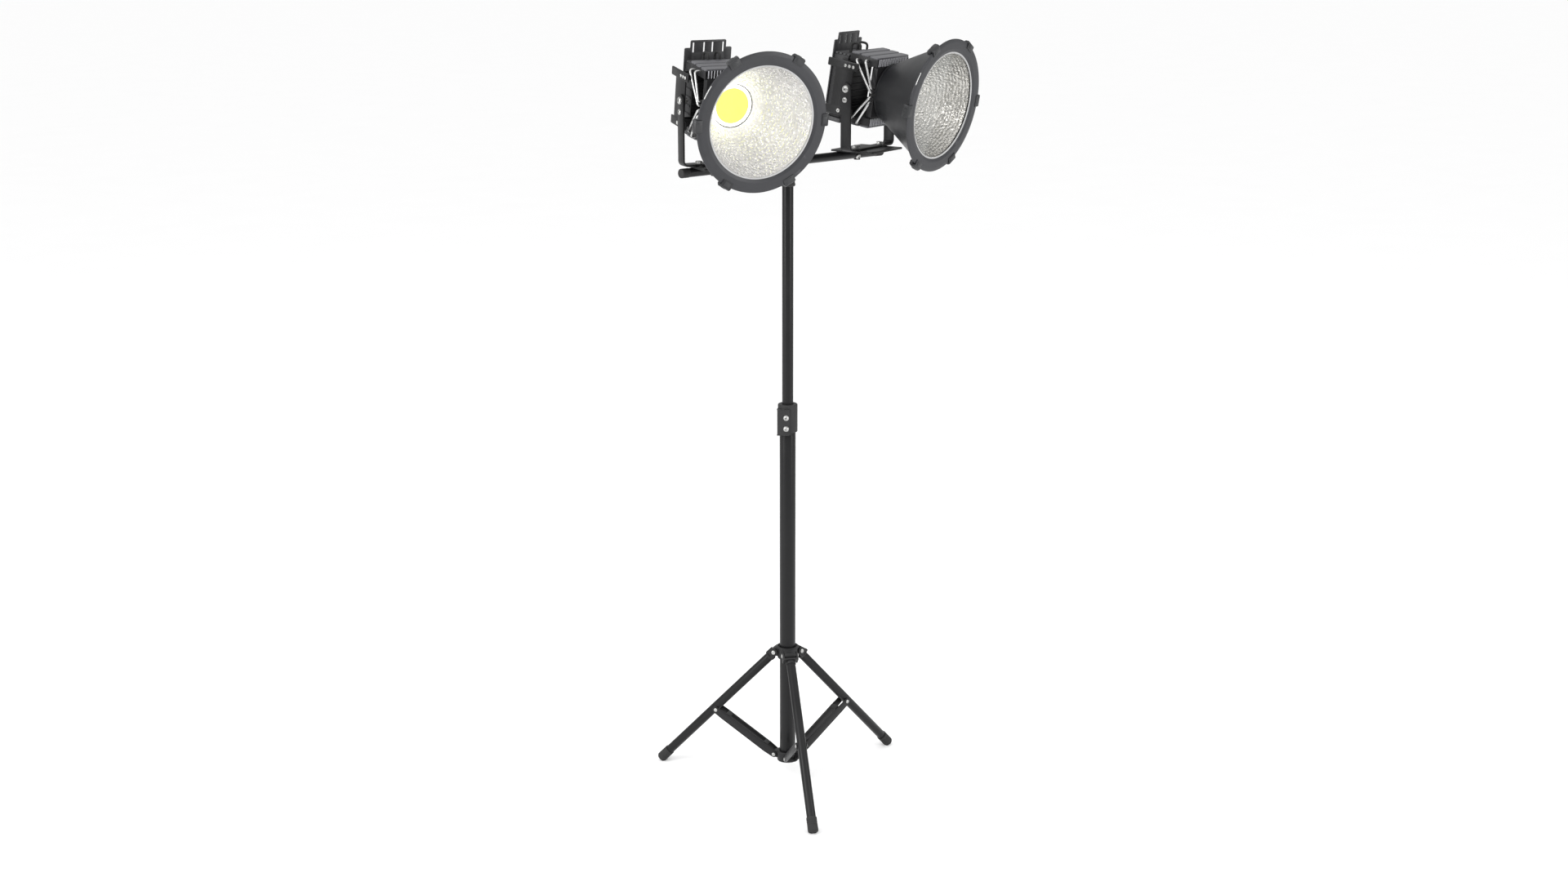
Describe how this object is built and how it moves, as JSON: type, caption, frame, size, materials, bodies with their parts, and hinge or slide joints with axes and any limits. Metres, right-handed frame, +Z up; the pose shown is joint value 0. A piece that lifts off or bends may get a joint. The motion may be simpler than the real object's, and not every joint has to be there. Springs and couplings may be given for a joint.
{
  "type": "work light",
  "caption": "Standing work light: two tilting LED floodlight heads on a crossbar, carried by a telescoping mast on a folding tripod.",
  "frame": {"origin": "centre of the whole light's outline on the floor; the mast's axis stands 2.8 mm to the right and 6.3 mm to the front of it", "axes": "+Z up along the mast, +X along the crossbar towards the right lamp, the lamps face -Y"},
  "size_m": [0.8026, 0.556, 1.6621],
  "materials": {
    "tube_black": "satin black powder coat on round steel tube",
    "moulded_black": "moulded glass-filled nylon, dark satin",
    "bracket_black": "satin black powder coat on folded steel",
    "cast_black": "die-cast aluminium painted black",
    "rubber_black": "matte moulded rubber",
    "zinc_plated": "bright zinc-plated steel fasteners",
    "shade_black": "spun aluminium painted satin black",
    "bezel_grey": "cast aluminium ring painted blue-grey satin",
    "fin_aluminium": "grey anodised aluminium fins",
    "pipe_nickel": "bright nickel-plated heat pipes and block",
    "driver_housing": "ribbed driver case, potted",
    "reflector_silver": "hammered bright reflector",
    "led_phosphor": "yellow phosphor on a white board",
    "lens_clear": "clear toughened glass"
  },
  "bodies": {
    "stand": {"lower_mast_tube": "tube_black", "mast_clamp": "cast_black", "clamp_screw_lower": "zinc_plated", "clamp_screw_upper": "zinc_plated", "strut_hub": "moulded_black"},
    "collar": {"leg_collar": "moulded_black"},
    "leg_front": {"leg_clevis_front": "moulded_black", "leg_tube_front": "tube_black", "leg_foot_front": "rubber_black", "leg_pin_front": "zinc_plated"},
    "strut_front": {"leg_strut_front": "bracket_black", "hub_pin_front": "zinc_plated"},
    "leg_right": {"leg_clevis_right": "moulded_black", "leg_tube_right": "tube_black", "leg_foot_right": "rubber_black", "leg_pin_right": "zinc_plated"},
    "strut_right": {"leg_strut_right": "bracket_black", "hub_pin_right": "zinc_plated"},
    "leg_left": {"leg_clevis_left": "moulded_black", "leg_tube_left": "tube_black", "leg_foot_left": "rubber_black", "leg_pin_left": "zinc_plated"},
    "strut_left": {"leg_strut_left": "bracket_black", "hub_pin_left": "zinc_plated"},
    "upper_mast": {"upper_mast_tube": "tube_black"},
    "crossbar": {"crossbar_socket": "cast_black", "crossbar_tube": "tube_black"},
    "yoke_left": {"base_plate_left": "bracket_black", "yoke_left": "bracket_black", "swivel_bolt_left": "zinc_plated"},
    "head_left": {"head_frame_left": "bracket_black", "pivot_bolt_left_a": "zinc_plated", "pivot_bolt_left_b": "zinc_plated", "rear_plate_left": "bracket_black", "driver_box_left": "driver_housing", "fin_block_upper_left": "fin_aluminium", "fin_block_lower_left": "fin_aluminium", "heat_pipe_core_left": "pipe_nickel", "shade_left": "shade_black", "led_module_left": "led_phosphor", "reflector_left": "reflector_silver", "lens_left": "lens_clear", "bezel_left": "bezel_grey"},
    "yoke_right": {"base_plate_right": "bracket_black", "yoke_right": "bracket_black", "swivel_bolt_right": "zinc_plated"},
    "head_right": {"head_frame_right": "bracket_black", "pivot_bolt_right_a": "zinc_plated", "pivot_bolt_right_b": "zinc_plated", "rear_plate_right": "bracket_black", "driver_box_right": "driver_housing", "fin_block_upper_right": "fin_aluminium", "fin_block_lower_right": "fin_aluminium", "heat_pipe_core_right": "pipe_nickel", "shade_right": "shade_black", "led_module_right": "led_phosphor", "reflector_right": "reflector_silver", "lens_right": "lens_clear", "bezel_right": "bezel_grey"}
  },
  "joints": [
    {"name": "collar_slide", "type": "slide", "parent": "stand", "child": "collar", "axis": [0, 0, 1], "range_m": [0, 0.131]},
    {"name": "leg_fold_front", "type": "hinge", "parent": "collar", "child": "leg_front", "pos_m": [-0.01179, -0.02956, 0.3031], "axis": [0.8443, -0.5358, 0], "range_deg": [0, 37.5]},
    {"name": "strut_fold_front", "type": "hinge", "parent": "stand", "child": "strut_front", "pos_m": [-0.01275, -0.03108, 0.057], "axis": [-0.8443, 0.5358, 0], "range_deg": [0, 52.8]},
    {"name": "leg_fold_right", "type": "hinge", "parent": "collar", "child": "leg_right", "pos_m": [0.03043, -0.00749, 0.3031], "axis": [0.0419, 0.9991, 0], "range_deg": [0, 37.5]},
    {"name": "strut_fold_right", "type": "hinge", "parent": "stand", "child": "strut_right", "pos_m": [0.03222, -0.00757, 0.057], "axis": [-0.0419, -0.9991, 0], "range_deg": [0, 52.8]},
    {"name": "leg_fold_left", "type": "hinge", "parent": "collar", "child": "leg_left", "pos_m": [-0.00979, 0.01803, 0.3031], "axis": [-0.8862, -0.4633, 0], "range_deg": [0, 37.5]},
    {"name": "strut_fold_left", "type": "hinge", "parent": "stand", "child": "strut_left", "pos_m": [-0.01062, 0.01963, 0.057], "axis": [0.8862, 0.4633, 0], "range_deg": [0, 52.8]},
    {"name": "mast_extend", "type": "slide", "parent": "stand", "child": "upper_mast", "axis": [0, 0, 1], "range_m": [-0.46, 0.12]},
    {"name": "crossbar_turn", "type": "hinge", "parent": "upper_mast", "child": "crossbar", "pos_m": [0.00295, -0.00634, 1.37], "axis": [0, 0, 1], "continuous": true},
    {"name": "yoke_swivel_left", "type": "hinge", "parent": "crossbar", "child": "yoke_left", "pos_m": [-0.20195, -0.00634, 1.4118], "axis": [0, 0, 1], "range_deg": [-30.3, 54.7]},
    {"name": "head_tilt_left", "type": "hinge", "parent": "yoke_left", "child": "head_left", "pos_m": [-0.20875, -0.03226, 1.5473], "axis": [0.9673, -0.2538, 0], "range_deg": [-99, 19]},
    {"name": "yoke_swivel_right", "type": "hinge", "parent": "crossbar", "child": "yoke_right", "pos_m": [0.20785, -0.00634, 1.4118], "axis": [0, 0, 1], "range_deg": [-52.8, 32.2]},
    {"name": "head_tilt_right", "type": "hinge", "parent": "yoke_right", "child": "head_right", "pos_m": [0.21379, -0.03247, 1.5473], "axis": [0.9751, 0.2215, 0], "range_deg": [-99, 19]}
  ],
  "couplings": [
    {"joint": "leg_fold_front", "follows": "collar_slide", "rad_per_m": 4.98},
    {"joint": "strut_fold_front", "follows": "collar_slide", "rad_per_m": 7.01},
    {"joint": "leg_fold_right", "follows": "collar_slide", "rad_per_m": 4.98},
    {"joint": "strut_fold_right", "follows": "collar_slide", "rad_per_m": 7.01},
    {"joint": "leg_fold_left", "follows": "collar_slide", "rad_per_m": 4.98},
    {"joint": "strut_fold_left", "follows": "collar_slide", "rad_per_m": 7.01}
  ]
}
